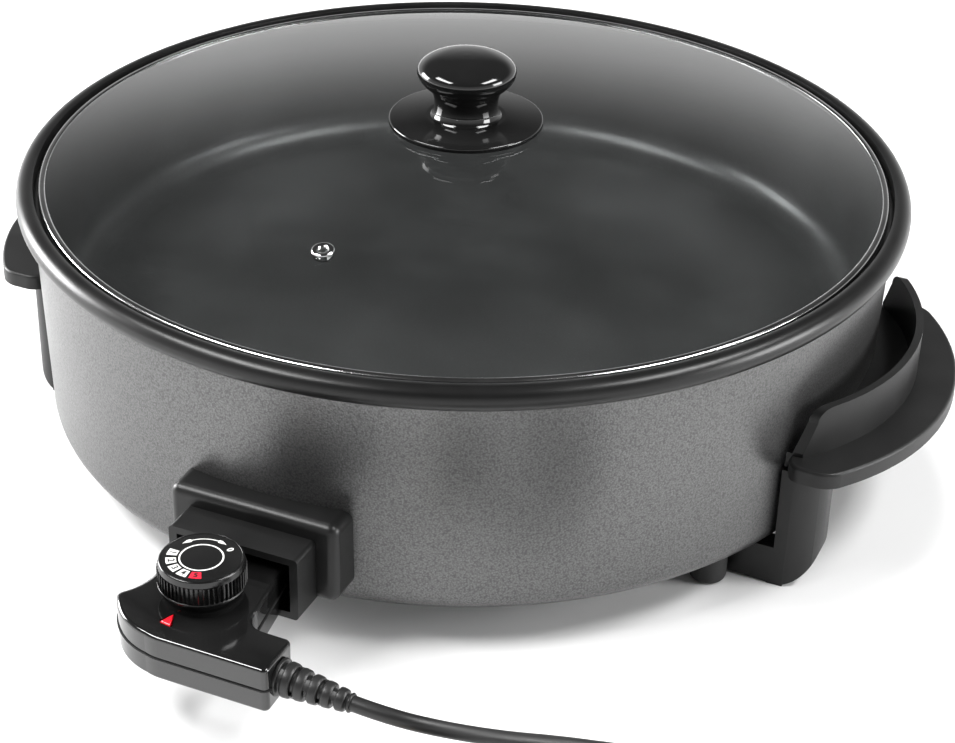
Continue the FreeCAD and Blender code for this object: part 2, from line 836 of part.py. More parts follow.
def biarc(start, way_out, end, way_in):
    """Two arcs that leave start along way_out and reach end along way_in."""
    across = end - start
    both = way_out + way_in
    spread = 2 * (1 - way_out.dot(way_in))
    along = across.dot(both)
    reach = (math.sqrt(along**2 + spread * across.dot(across)) - along) / spread
    first = start + way_out * reach
    last = end - way_in * reach
    meet = (first + last) * 0.5
    return [arc_from(start, first, meet), arc_from(meet, last, end)]


coil_turns = coil_layer_turns * 2 + 0.5
coil_end = coil_point(coil_turns)


def cord_coil():
    ends_way = V(1, 0, 0)
    quarters = int(coil_turns * 4)
    edges = [Part.LineSegment(coil_start - ends_way * 7, coil_start).toShape()]
    for i in range(quarters):
        a = i / 4
        b = (i + 1) / 4
        way_a = ends_way if i == 0 else coil_tangent(a)
        way_b = ends_way * -1 if i == quarters - 1 else coil_tangent(b)
        edges += biarc(coil_point(a), way_a, coil_point(b), way_b)
    edges.append(Part.LineSegment(coil_end, coil_end - ends_way * 7).toShape())
    wire = Part.Wire(edges)
    print("cord_coil length", round(wire.Length, 1), "least gap to itself", round(coil_self_gap(), 2))
    tube = swept(wire, cord_radius)
    print("cord_coil volume share", round(tube.Volume / (math.pi * cord_radius**2 * wire.Length), 4))
    return tube


def coil_self_gap():
    """Least clear space between two points of the coil that are over a third of a turn apart."""
    count = 360
    points = [coil_point(coil_turns * i / count) for i in range(count + 1)]
    apart = int(count / coil_turns / 3)
    least = min((points[i] - points[j]).Length for i in range(count + 1) for j in range(i + apart, count + 1))
    return least - 2 * cord_radius


# The cord's last stretch, from the coil's top layer up to the plug
tail_route = [
    coil_end - V(7, 0, 0),
    coil_end - V(21, 0, 0),
    V(coil_end.x - 42, coil_end.y - 1.0, plug_axis_z),
    V(coil_end.x - 62, coil_end.y - 1.0, plug_axis_z)]


def cord_tail():
    return tube_along(tail_route, cord_radius, "cord_tail")


plug_rear = tail_route[-1]


def on_plug(shape):
    """Put a piece drawn along +Z from the plug's rear onto the plug, which points along -X."""
    copy = shape.copy()
    copy.rotate(V(0, 0, 0), V(0, 1, 0), -90)
    copy.translate(plug_rear)
    return copy


def plug_pins():
    pins = []
    for side in (-1, 1):
        tail = rod((0, side * 9.5, 40), (0, 0, 1), 1.9, 16)
        shank = rod((0, side * 9.5, 55.4), (0, 0, 1), 2.4, 16.6)
        tip = Part.makeSphere(2.4, V(0, side * 9.5, 72)).common(box(-5, 5, side * 9.5 - 5, side * 9.5 + 5, 72, 76))
        pins.append(on_plug(joined([tail, shank, tip])))
    return Part.makeCompound(pins)


def plug_earth_clips():
    clips = [box(side * 17.4 - 0.5, side * 17.4 + 0.5, -2.5, 2.5, 45, 54.2) for side in (-1, 1)]
    return Part.makeCompound([on_plug(clip) for clip in clips])


def plug_body(cuts):
    body = turned(
        (0, 0),
        [(5.0, 0),
         (6.2, 1.5),
         (7.6, 14),
         (11.0, 17),
         (13.6, 24, 14.2, 33),
         (15.2, 38, plug_radius - 0.6, 39.5),
         (plug_radius, 40.5),
         (plug_radius, 54.6),
         (plug_radius - 0.8, 55.4),
         (0, 55.4),
         (0, 0)])
    return without(on_plug(body), cuts)


def save(name, drawn):
    shape = drawn.copy()
    shape.translate(V(0, pan_axis_y, 0))
    shape.exportStep("parts/" + name + ".step")
    solids = shape.Solids
    if not solids or not shape.isValid():
        print("CHECK", name, len(solids), shape.isValid())
    for solid in solids:
        if solid.Volume < 1:
            print("CHECK small solid in", name, solid.Volume)


def build():
    os.makedirs("parts", exist_ok=True)
    pins = terminal_pins()
    stud = centre_stud()
    element = heating_element(pins)
    handle_fixings = handle_screws()
    socket_fixings = socket_screws()
    cover_fixings = cover_screws()
    leg_screw, leg_cuts = underside_fixing(187.0, -74.8, 8.0)
    foot_screw, foot_cuts = underside_fixing(foot_centre[0], foot_centre[1], 9.0)
    underside = Part.makeCompound(four_corners(leg_screw) + four_corners(foot_screw))
    socket = socket_housing(pins, socket_fixings)

    save_root(pins, stud, element, handle_fixings, socket_fixings, cover_fixings, underside, socket)
    save_corners(leg_screw, leg_cuts, foot_screw, foot_cuts)
    save_lid()
    save_control()
    save_cord()


def save_root(pins, stud, element, handle_fixings, socket_fixings, cover_fixings, underside, socket):
    inlet_hole = box(-slot_half_width + 1, slot_half_width - 1, -220, -200, 39.5, 58)
    casing = outer_casing([inlet_hole, handle_fixings, socket_fixings, cover_fixings, underside])
    handle = side_handle(handle_fixings)
    save("inner_pan", inner_pan(element, stud))
    save("outer_casing", casing)
    save("bottom_cover", bottom_cover([cover_fixings, stud]))
    save("cover_screws", cover_fixings)
    save("centre_nut", centre_nut())
    save("handle_right", handle)
    save("handle_left", mirror_x(handle))
    save("heating_element", element)
    save("terminal_beads", pin_beads(pins))
    save("sensor_well", sensor_well())
    save("socket_housing", socket)
    save("handle_screws", handle_fixings)
    save("socket_screws", socket_fixings)
    save("underside_screws", underside)
    save("centre_stud", stud)
    save("terminal_pins", pins)


def save_corners(leg_screw, leg_cuts, foot_screw, foot_cuts):
    names = ["front_right", "rear_right", "front_left", "rear_left"]
    for name, leg in zip(names, four_corners(corner_leg(leg_cuts + [leg_screw]))):
        save("leg_" + name, leg)
    for name, foot in zip(names, four_corners(corner_foot(foot_cuts + [foot_screw]))):
        save("foot_" + name, foot)


def save_lid():
    insert, bolt, washer, seal = knob_fixings()
    glass = lid_glass([bolt, eyelet_hole()])
    save("lid_band", lid_band(glass))
    save("lid_glass", glass)
    save("vent_eyelet", vent_eyelet())
    save("knob_disc", knob_disc([bolt, insert]))
    save("lid_knob", lid_knob([bolt, insert]))
    save("knob_insert", insert)
    save("knob_washer", washer)
    save("knob_seal", seal)
    save("knob_screw", bolt)


def save_control():
    probe = sensing_probe()
    sleeves = contact_sleeves()
    lens = pointer_lens()
    screws = control_screws()
    spindle = dial_spindle()
    solid_sleeves = Part.makeCompound([rod((side * pin_spacing_half, nose_tip_y + 1, socket_axis_z), (0, -1, 0),
                                           sleeve_radius, 24) for side in (-1, 1)])
    relief = strain_relief()
    shells = [probe, solid_sleeves, screws]
    save("control_upper", control_upper(shells + [lens, relief]))
    save("control_lower", control_lower(shells + [relief]))
    save("control_screws", screws)
    save("sensing_probe", probe)
    save("contact_sleeves", sleeves)
    save("pointer_lens", lens)
    save("pilot_lamp", pilot_lamp())
    save("switch_block", switch_block())
    save("bimetal_strip", bimetal_strip())
    save("contact_leaf", contact_leaf())
    save("cord_clamp", cord_clamp())
    save("strain_relief", relief)
    save("temperature_dial", temperature_dial(spindle))
    save("dial_face", dial_face())
    save("dial_spindle", spindle)


def save_cord():
    pins = plug_pins()
    clips = plug_earth_clips()
    save("plug_body", plug_body([pins, clips]))
    save("plug_pins", pins)
    save("plug_earth_clips", clips)
    save("supply_cord", supply_cord())
    save("cord_coil", cord_coil())
    save("cord_tail", cord_tail())


build()
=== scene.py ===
import json
import math

import bmesh
import bpy
from mathutils import Matrix, Vector


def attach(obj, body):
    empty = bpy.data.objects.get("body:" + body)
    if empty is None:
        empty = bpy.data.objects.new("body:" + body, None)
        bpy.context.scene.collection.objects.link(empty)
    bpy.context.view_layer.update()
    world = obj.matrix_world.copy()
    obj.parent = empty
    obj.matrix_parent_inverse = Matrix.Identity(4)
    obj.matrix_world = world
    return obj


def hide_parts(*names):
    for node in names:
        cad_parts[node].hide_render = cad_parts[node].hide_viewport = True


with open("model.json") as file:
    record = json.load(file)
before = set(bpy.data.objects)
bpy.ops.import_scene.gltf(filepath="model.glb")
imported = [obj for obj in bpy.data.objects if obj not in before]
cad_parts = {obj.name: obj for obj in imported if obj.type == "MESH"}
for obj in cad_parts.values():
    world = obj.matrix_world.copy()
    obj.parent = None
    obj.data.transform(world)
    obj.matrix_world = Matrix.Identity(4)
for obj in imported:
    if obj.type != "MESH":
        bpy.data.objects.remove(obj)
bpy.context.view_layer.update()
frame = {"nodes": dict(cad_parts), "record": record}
print("frame loaded,", len(frame["nodes"]), "nodes")

mm = 0.001
panY = 40.5 * mm  # the pan's axis stands this far behind the origin
samePlace = 1e-6  # metres: points closer than this are one point
scene = bpy.context.scene
nodes = frame["nodes"]


# The camera, at the photograph's place
cameraPlace = {"x": 405.8, "y": -919.8, "z": 623.8, "turn": 23.3, "down": 30.88, "roll": 1.43, "lens": 82.93,
               "sensor": 36, "near": 0.05, "far": 40}


def addCamera():
    data = bpy.data.cameras.new("photoCamera")
    data.lens = cameraPlace["lens"]
    data.sensor_width = cameraPlace["sensor"]
    data.clip_start = cameraPlace["near"]
    data.clip_end = cameraPlace["far"]
    camera = bpy.data.objects.new("photoCamera", data)
    scene.collection.objects.link(camera)
    turn, down, roll = (math.radians(cameraPlace[k]) for k in ("turn", "down", "roll"))
    level = Vector((math.cos(turn), math.sin(turn), 0))
    upright = Vector((-math.sin(turn) * math.sin(down), math.cos(turn) * math.sin(down), math.cos(down)))
    right = level * math.cos(roll) + upright * math.sin(roll)
    up = upright * math.cos(roll) - level * math.sin(roll)
    camera.matrix_world = Matrix((right, up, right.cross(up))).transposed().to_4x4()
    camera.location = (cameraPlace["x"] * mm, cameraPlace["y"] * mm + panY, cameraPlace["z"] * mm)
    scene.camera = camera


addCamera()
print("camera placed")


# Adds a node to a shader tree or a geometry tree and fills its inputs
def addNode(tree, kind, inputs=None, **settings):
    node = tree.nodes.new(kind)
    for key, value in settings.items():
        setattr(node, key, value)
    for key, value in (inputs or {}).items():
        if isinstance(value, bpy.types.NodeSocket):
            tree.links.new(value, node.inputs[key])
        else:
            node.inputs[key].default_value = value
    return node


def sums(tree, operation, a, b=0.0):
    return addNode(tree, "ShaderNodeMath", {0: a, 1: b}, operation=operation).outputs[0]


# Materials: a principled shader each, laid out on the object's own coordinates
def newFinish(name, **values):
    material = bpy.data.materials.new(name)
    material.use_nodes = True
    tree = material.node_tree
    shader = tree.nodes["Principled BSDF"]
    for key, value in values.items():
        shader.inputs[key.replace("_", " ")].default_value = value
    place = addNode(tree, "ShaderNodeTexCoord").outputs["Object"]
    return material, tree, shader, place


def noise(tree, place, scale, detail=3.0, roughness=0.5):
    inputs = {"Vector": place, "Scale": scale, "Detail": detail, "Roughness": roughness}
    return addNode(tree, "ShaderNodeTexNoise", inputs).outputs["Fac"]


def spread(tree, value, low, high, fromLow=0.3, fromHigh=0.7):
    inputs = {"Value": value, "From Min": fromLow, "From Max": fromHigh, "To Min": low, "To Max": high}
    return addNode(tree, "ShaderNodeMapRange", inputs).outputs["Result"]


def grey(value):
    return (value, value, value)


def colours(tree, factor, dark, light):
    inputs = {"Factor": factor, 6: (*dark, 1), 7: (*light, 1)}
    return addNode(tree, "ShaderNodeMix", inputs, data_type="RGBA").outputs[2]


def bump(tree, shader, height, depth):
    inputs = {"Height": height, "Distance": depth * mm, "Strength": 1.0}
    tree.links.new(addNode(tree, "ShaderNodeBump", inputs).outputs["Normal"], shader.inputs["Normal"])


# A moulded surface: a little mottling, uneven gloss and a fine grain whose depth is in millimetres
mouldedLook = {"cloud": 35, "cloudDetail": 4, "fineDetail": 2, "cloudShare": 0.6, "fineShare": 0.4}


def moulded(name, dark, light, rough, grain, depth, **values):
    material, tree, shader, place = newFinish(name, **values)
    cloud = noise(tree, place, mouldedLook["cloud"], mouldedLook["cloudDetail"])
    fine = noise(tree, place, grain, mouldedLook["fineDetail"])
    tree.links.new(colours(tree, spread(tree, cloud, 0, 1), dark, light), shader.inputs["Base Color"])
    gloss = sums(tree, "ADD", sums(tree, "MULTIPLY", cloud, mouldedLook["cloudShare"]),
                 sums(tree, "MULTIPLY", fine, mouldedLook["fineShare"]))
    tree.links.new(spread(tree, gloss, *rough), shader.inputs["Roughness"])
    bump(tree, shader, fine, depth)
    return material


def metal(*looks):
    return moulded(*looks, Metallic=1.0)


# Grey paint with a fine pebbled grain: pale swellings and darker veins about a millimetre apart
paintLook = {"metallic": 0.8, "wander": 1100, "wanderDetail": 2, "shift": 0.0007, "cells": 1250,
             "cellEdges": (0.1, 0.75), "grain": 900, "grainDetail": 3, "grainShare": 0.5,
             "dark": 0.092, "light": 0.178, "colourFrom": (0.35, 1.3), "rough": (0.33, 0.285),
             "roughFrom": (0.4, 1.3), "depth": 0.05}


def hammeredPaint():
    look = paintLook
    material, tree, shader, place = newFinish("hammeredPaint", Metallic=look["metallic"])
    wander = addNode(tree, "ShaderNodeTexNoise",
                     {"Vector": place, "Scale": look["wander"], "Detail": look["wanderDetail"]})
    shifted = addNode(tree, "ShaderNodeVectorMath", {0: wander.outputs["Color"], "Scale": look["shift"]},
                      operation="SCALE").outputs[0]
    bent = addNode(tree, "ShaderNodeVectorMath", {0: place, 1: shifted}, operation="ADD").outputs[0]
    cells = addNode(tree, "ShaderNodeTexVoronoi", {"Vector": bent, "Scale": look["cells"]}, feature="SMOOTH_F1")
    swelling = spread(tree, cells.outputs["Distance"], 1, 0, *look["cellEdges"])
    grain = sums(tree, "MULTIPLY", noise(tree, place, look["grain"], look["grainDetail"]), look["grainShare"])
    height = sums(tree, "ADD", swelling, grain)
    tone = spread(tree, height, 0, 1, *look["colourFrom"])
    tree.links.new(colours(tree, tone, grey(look["dark"]), grey(look["light"])), shader.inputs["Base Color"])
    tree.links.new(spread(tree, height, *look["rough"], *look["roughFrom"]), shader.inputs["Roughness"])
    bump(tree, shader, height, look["depth"])
    return material


# Satin black coating on cast metal, with a fine speckle
coatLook = {"cloud": 26, "cloudDetail": 4, "cloudShare": 0.3, "fine": 1100, "fineDetail": 2, "fineShare": 0.7,
            "dark": 0.012, "light": 0.042, "rough": (0.33, 0.36), "depth": 0.03}


def nonStick():
    look = coatLook
    material, tree, shader, place = newFinish("nonStickCoat")
    cloud = noise(tree, place, look["cloud"], look["cloudDetail"])
    fine = noise(tree, place, look["fine"], look["fineDetail"])
    tone = sums(tree, "ADD", spread(tree, cloud, 0, look["cloudShare"]), spread(tree, fine, 0, look["fineShare"]))
    tree.links.new(colours(tree, tone, grey(look["dark"]), grey(look["light"])), shader.inputs["Base Color"])
    tree.links.new(spread(tree, cloud, *look["rough"]), shader.inputs["Roughness"])
    bump(tree, shader, fine, look["depth"])
    return material


# Clear glass that lets the lamps through to the pan, and the light that the pan sends back
glassLook = {"tint": (0.93, 0.95, 0.95, 1), "clear": (0.93, 0.94, 0.94, 1), "bend": 1.45, "rough": 0.02}


def lidGlassFinish():
    material, tree, shader, place = newFinish("lidClear", Transmission_Weight=1.0, IOR=glassLook["bend"],
                                              Roughness=glassLook["rough"], Base_Color=glassLook["tint"])
    path = addNode(tree, "ShaderNodeLightPath").outputs
    bounced = sums(tree, "MAXIMUM", path["Is Diffuse Ray"], path["Is Glossy Ray"])
    bounced = sums(tree, "SUBTRACT", bounced, path["Is Transmission Ray"])  # light inside the glass still bends
    through = sums(tree, "MAXIMUM", path["Is Shadow Ray"], bounced)
    clear = addNode(tree, "ShaderNodeBsdfTransparent", {"Color": glassLook["clear"]})
    mixed = addNode(tree, "ShaderNodeMixShader", {0: through, 1: shader.outputs[0], 2: clear.outputs[0]})
    tree.links.new(mixed.outputs[0], tree.nodes["Material Output"].inputs["Surface"])
    return material


finishes = {
    "pan_coating": nonStick(),
    "casing_paint": hammeredPaint(),
    "zinc_steel": metal("zincSheet", grey(0.42), grey(0.55), (0.30, 0.45), 900, 0.02),
    "screw_steel": metal("screwSteel", grey(0.40), grey(0.52), (0.28, 0.42), 1200, 0.02),
    "element_sheath": metal("heatStainedTube", (0.09, 0.075, 0.06), (0.19, 0.17, 0.15), (0.4, 0.6), 600, 0.03),
    "bright_steel": metal("brightSteel", grey(0.62), grey(0.74), (0.12, 0.20), 1500, 0.004),
    "ceramic": moulded("beadCeramic", (0.62, 0.59, 0.52), (0.74, 0.71, 0.64), (0.29, 0.4), 900, 0.01),
    "cast_well": metal("bareCasting", grey(0.36), grey(0.48), (0.45, 0.6), 500, 0.06),
    "socket_plastic": moulded("socketMoulding", grey(0.006), grey(0.011), (0.32, 0.42), 1400, 0.015,
                              Specular_IOR_Level=0.34),
    "handle_plastic": moulded("handleMoulding", grey(0.008), grey(0.014), (0.38, 0.48), 1300, 0.02,
                              Specular_IOR_Level=0.34),
    "foot_rubber": moulded("footRubber", grey(0.010), grey(0.018), (0.6, 0.75), 900, 0.03),
    "lid_clear": lidGlassFinish(),
    "knob_gloss": moulded("knobGloss", grey(0.006), grey(0.009), (0.07, 0.11), 60, 0.01),
    "brass": metal("plainBrass", (0.62, 0.44, 0.18), (0.72, 0.55, 0.26), (0.29, 0.38), 1100, 0.01),
    "seal_rubber": moulded("sealSilicone", (0.55, 0.54, 0.52), (0.64, 0.63, 0.60), (0.45, 0.6), 800, 0.02),
    "control_gloss": moulded("controlGloss", grey(0.006), grey(0.009), (0.07, 0.12), 70, 0.01,
                             Specular_IOR_Level=0.8),
    "inner_plastic": moulded("switchMoulding", (0.10, 0.055, 0.03), (0.15, 0.085, 0.05), (0.4, 0.55), 900, 0.02),
    "bimetal": metal("bimetalStrip", (0.42, 0.36, 0.28), (0.54, 0.48, 0.40), (0.3, 0.45), 900, 0.01),
    "lamp": moulded("lampTube", (0.75, 0.33, 0.16), (0.85, 0.45, 0.25), (0.1, 0.2), 500, 0.005),
    "lens_red": moulded("lensRed", (0.70, 0.010, 0.020), (0.82, 0.02, 0.035), (0.10, 0.18), 400, 0.01),
    "relief_rubber": moulded("reliefRubber", grey(0.010), grey(0.016), (0.34, 0.46), 1100, 0.02),
    "cord_sheath": moulded("cordSheath", grey(0.011), grey(0.018), (0.38, 0.50), 1100, 0.02),
    "plug_plastic": moulded("plugMoulding", grey(0.010), grey(0.017), (0.42, 0.55), 1100, 0.02),
    "dial_black": moulded("dialGloss", grey(0.006), grey(0.010), (0.16, 0.24), 900, 0.006),
    "dial_print": moulded("dialFaceBlack", grey(0.007), grey(0.010), (0.19, 0.26), 900, 0.004)}
# The rim wears the pan's own coating, but in a copy darker than the inside: painted shade on the rim
shadedRimFinish = moulded("rimCoatPaintedShade", grey(0.005), grey(0.009), (0.29, 0.34), 1100, 0.015, Specular_IOR_Level=0.32)
seamFinish = moulded("seamShadow", grey(0.003), grey(0.005), (0.7, 0.8), 900, 0.005)

slotOfNode = {part["node"]: part["material_slot"] for part in frame["record"]["subparts"]}
for name, node in nodes.items():
    node.data.materials.clear()
    node.data.materials.append(finishes[slotOfNode[name]])
print("finishes made,", len(finishes))


# Pieces
# Merges doubles, drops loose edges, turns the faces outwards and smooths all but the sharp edges
def tidyMesh(mesh, sharp=35):
    work = bmesh.new()
    work.from_mesh(mesh)
    bmesh.ops.remove_doubles(work, verts=work.verts, dist=samePlace)
    bmesh.ops.dissolve_degenerate(work, edges=work.edges, dist=samePlace / 10)
    bmesh.ops.delete(work, geom=[e for e in work.edges if not e.link_faces], context="EDGES")
    bmesh.ops.recalc_face_normals(work, faces=work.faces)
    work.to_mesh(mesh)
    work.free()
    mesh.shade_smooth()
    mesh.set_sharp_from_angle(angle=math.radians(sharp))
    return mesh


def addPiece(name, mesh, body, slot, replaces=(), finish=None):
    piece = bpy.data.objects.new(name, mesh)
    scene.collection.objects.link(piece)
    mesh.materials.clear()
    mesh.materials.append(finish or finishes[slot])
    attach(piece, body)
    if replaces:
        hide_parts(*replaces)
    return piece


# The plain mesh of an object with its modifiers or its letters; the object itself goes
def takeMesh(source):
    scene.collection.objects.link(source)
    evaluated = source.evaluated_get(bpy.context.evaluated_depsgraph_get())
    mesh = bpy.data.meshes.new_from_object(evaluated)
    bpy.data.objects.remove(source)
    return mesh


# The plain mesh that a geometry tree makes of a mesh
def runTree(tree, mesh, values):
    source = bpy.data.objects.new("source", mesh)
    modifier = source.modifiers.new("shape", "NODES")
    modifier.node_group = tree
    for item in tree.interface.items_tree:
        if item.in_out == "INPUT" and item.name in values:
            modifier[item.identifier] = values[item.name]
    return takeMesh(source)


def newTree(name, inputs):
    tree = bpy.data.node_groups.new(name, "GeometryNodeTree")
    tree.interface.new_socket("Geometry", in_out="INPUT", socket_type="NodeSocketGeometry")
    for label, kind in inputs.items():
        tree.interface.new_socket(label, in_out="INPUT", socket_type="NodeSocket" + kind)
    tree.interface.new_socket("Geometry", in_out="OUTPUT", socket_type="NodeSocketGeometry")
    return tree, addNode(tree, "NodeGroupInput").outputs


def endTree(tree, geometry, material):
    real = addNode(tree, "GeometryNodeRealizeInstances", {"Geometry": geometry}).outputs[0]
    painted = addNode(tree, "GeometryNodeSetMaterial", {"Geometry": real, "Material": material}).outputs[0]
    addNode(tree, "NodeGroupOutput", {"Geometry": painted})


# Turns a profile drawn in the XZ plane round the Z axis
def turningTree():
    tree, given = newTree("turning", {"Sides": "Int", "Material": "Material"})
    size = addNode(tree, "GeometryNodeAttributeDomainSize", {"Geometry": given["Geometry"]})
    rows = size.outputs["Point Count"]
    columns = sums(tree, "ADD", given["Sides"], 1)
    grid = addNode(tree, "GeometryNodeMeshGrid", {"Vertices X": rows, "Vertices Y": columns}).outputs["Mesh"]
    index = addNode(tree, "GeometryNodeInputIndex").outputs[0]
    row = sums(tree, "FLOOR", sums(tree, "DIVIDE", sums(tree, "ADD", index, 0.5), columns))
    column = sums(tree, "SUBTRACT", index, sums(tree, "MULTIPLY", row, columns))
    turn = sums(tree, "MULTIPLY", sums(tree, "DIVIDE", column, given["Sides"]), 2 * math.pi)
    position = addNode(tree, "GeometryNodeInputPosition").outputs[0]
    picked = addNode(tree, "GeometryNodeSampleIndex",
                     {"Geometry": given["Geometry"], "Value": position, "Index": row}, data_type="FLOAT_VECTOR")
    parts = addNode(tree, "ShaderNodeSeparateXYZ", {0: picked.outputs[0]}).outputs
    around = addNode(tree, "ShaderNodeCombineXYZ", {
        0: sums(tree, "MULTIPLY", parts["X"], sums(tree, "COSINE", turn)),
        1: sums(tree, "MULTIPLY", parts["X"], sums(tree, "SINE", turn)),
        2: parts["Z"]}).outputs[0]
    moved = addNode(tree, "GeometryNodeSetPosition", {"Geometry": grid, "Position": around}).outputs[0]
    joined = addNode(tree, "GeometryNodeMergeByDistance", {"Geometry": moved, "Distance": samePlace}).outputs[0]
    endTree(tree, joined, given["Material"])
    return tree


turning = turningTree()


# A polyline in millimetres whose corners (x, z, radius) are rounded
def filleted(corners, steps=7):
    points = []
    count = len(corners)
    for i, corner in enumerate(corners):
        here = Vector(corner[:2])
        radius = corner[2] if len(corner) > 2 else 0
        if not radius:
            points.append(here)
            continue
        before = Vector(corners[(i - 1) % count][:2]) - here
        after = Vector(corners[(i + 1) % count][:2]) - here
        half = before.angle(after) / 2
        reach = radius / math.tan(half)
        start = here + before.normalized() * reach
        end = here + after.normalized() * reach
        centre = here + (before.normalized() + after.normalized()).normalized() * (radius / math.sin(half))
        first = math.atan2(start.y - centre.y, start.x - centre.x)
        sweep = math.atan2(end.y - centre.y, end.x - centre.x) - first
        sweep = (sweep + math.pi) % (2 * math.pi) - math.pi
        for k in range(steps + 1):
            angle = first + sweep * k / steps
            points.append(centre + Vector((math.cos(angle), math.sin(angle))) * radius)
    return points


# A closed profile in millimetres, turned round an upright axis
def turned(points, sides, centre=(0, panY, 0), sharp=35):
    mesh = bpy.data.meshes.new("profile")
    ring = list(points) + [points[0]]
    mesh.from_pydata([(p[0] * mm, 0, p[1] * mm) for p in ring], [(i, i + 1) for i in range(len(ring) - 1)], [])
    result = runTree(turning, mesh, {"Sides": sides})
    result.transform(Matrix.Translation(centre))
    return tidyMesh(result, sharp)


# The cord, first of the pieces: its route is the part's own, from the strain relief to the plug
cordLook = {"radius": 3.5, "floor": 3.6, "coilX": 240.0, "coilStartY": -224.9, "outer": 42.6, "pitch": 7.7,
            "layerTurns": 2, "crossing": 0.5, "perTurn": 16, "order": 3, "resolution": 6, "bevelResolution": 5}
cordStart = [(83.417, -292.0, 42.628), (100.38, -292.0, 41.44), (121.0, -281.5, 34.0), (139.5, -265.0, 23.5),
             (157.5, -245.5, 12.5), (175.5, -231.5, 4.6), (196.0, -224.6, 3.6), (217.0, -225.5, 3.6),
             (233.0, -224.9, 3.6)]
cordTail = [(-7, 0, 0), (-21, 0, 0), (-42, -1, 7.3), (-62, -1, 7.3)]  # from the coil's end, up to the plug


# A layer that winds inwards, a crossing that climbs, and a layer on top of it that winds outwards
def coilRoute():
    points = []
    layer, crossing, pitch, outer = (cordLook[k] for k in ("layerTurns", "crossing", "pitch", "outer"))
    centreY = cordLook["coilStartY"] - outer
    inner = outer - pitch * layer
    for i in range(int((layer * 2 + crossing) * cordLook["perTurn"]) + 1):
        turn = i / cordLook["perTurn"]
        past = turn - layer
        climb = min(max(past / crossing, 0), 1)
        if past <= 0:
            radius = outer - pitch * turn
        elif past <= crossing:
            radius = inner - pitch * (past - past * past / crossing)
        else:
            radius = inner + pitch * (past - crossing)
        angle = math.pi / 2 - 2 * math.pi * turn
        height = cordLook["floor"] + pitch * climb * climb * (3 - 2 * climb)
        points.append((cordLook["coilX"] + radius * math.cos(angle), centreY + radius * math.sin(angle), height))
    return points


def addSupplyCord():
    coil = coilRoute()
    route = cordStart + coil + [tuple(a + b for a, b in zip(coil[-1], step)) for step in cordTail]
    curve = bpy.data.curves.new("supplyCord", "CURVE")
    curve.dimensions = "3D"
    line = curve.splines.new("NURBS")
    line.points.add(len(route) - 1)
    for point, (x, y, z) in zip(line.points, route):
        point.co = (x * mm, y * mm + panY, z * mm, 1)
    line.order_u = cordLook["order"]
    line.use_endpoint_u = True
    line.resolution_u = cordLook["resolution"]
    curve.bevel_depth = cordLook["radius"] * mm
    curve.bevel_resolution = cordLook["bevelResolution"]
    curve.materials.append(finishes["cord_sheath"])
    cord = bpy.data.objects.new("supplyCord", curve)
    scene.collection.objects.link(cord)
    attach(cord, "control")
    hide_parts("supply_cord", "cord_coil", "cord_tail")


addSupplyCord()
print("cord laid")


# The pan, its rolled rim and the casing's wall: corners as radius, height and rounding in millimetres
insideLine = [(0, 69), (203.8, 69, 17), (208.4, 139.2, 0.8), (214.0, 139.2), (214.0, 136.9), (211.6, 136.7, 0.8),
              (207.0, 64, 20), (0, 64)]
rimStart = [(213.4, 139.2), (214.0, 139.2, 0.4)]
rimBead = {"middle": (217.0, 139.6), "radius": 6.0, "angles": range(115, -80, -10)}
rimEnd = [(216.9, 133.9, 0.2), (216.9, 136.7, 0.4), (213.4, 136.7)]
wallLine = [(215.6, 136.7), (212.2, 20.8, 11), (150, 20.8, 0.3), (150, 22, 0.3), (211.0, 22, 9.8), (214.4, 136.7)]


def addPan():
    (x, z), radius = rimBead["middle"], rimBead["radius"]
    bead = [(x + radius * math.cos(math.radians(a)), z + radius * math.sin(math.radians(a)))
            for a in rimBead["angles"]]
    rim = filleted(rimStart + bead + rimEnd)
    addPiece("innerPan", turned(filleted(insideLine), sides=256), "pan", "pan_coating", ["inner_pan"])
    addPiece("panRim", turned(rim, sides=256), "pan", "pan_coating", finish=shadedRimFinish)
    addPiece("casingWall", turned(filleted(wallLine), sides=256), "pan", "casing_paint", ["outer_casing"])


# The lid: a slice of a large ball of glass in a steel band
lidSizes = {"radius": 210.0, "rows": 28, "top": 168.6, "edge": 143.9, "thickness": 4.0, "discRadius": 38.6,
            "discTop": 171.6, "knobTop": 203.2}
bandLine = [(208.1, 139.5, 0.3), (212.0, 139.5, 0.9), (212.0, 144.5, 1.5), (208.1, 144.5, 1.3)]
knobLine = [(0, 0), (7, -0.2), (14, -0.9), (19.6, -2.6), (23.3, -5.2), (24.5, -8.0), (23.9, -11.0), (21.9, -13.9),
            (19.2, -16.4), (17.3, -18.8), (16.3, -21.6), (15.9, -25.0), (16.1, -28.2), (16.9, -30.4),
            (17.8, -31.5)]


def glassHeight(r, under=0.0):
    sag = lidSizes["top"] - lidSizes["edge"]
    ball = (lidSizes["radius"] ** 2 + sag * sag) / (2 * sag)
    return lidSizes["top"] - ball + math.sqrt((ball - under) ** 2 - r * r)


# A smooth line through points
def smoothLine(points, steps=5):
    points = [Vector(p) for p in points]
    padded = [points[0] * 2 - points[1]] + points + [points[-1] * 2 - points[-2]]
    result = []
    for a, b, c, d in zip(padded, padded[1:], padded[2:], padded[3:]):
        for k in range(steps):
            t = k / steps
            result.append(((b * 2) + (c - a) * t + (a * 2 - b * 5 + c * 4 - d) * t * t
                           + (b * 3 - a - c * 3 + d) * t ** 3) / 2)
    return [Vector((max(p.x, 0), p.y)) for p in result] + [points[-1]]


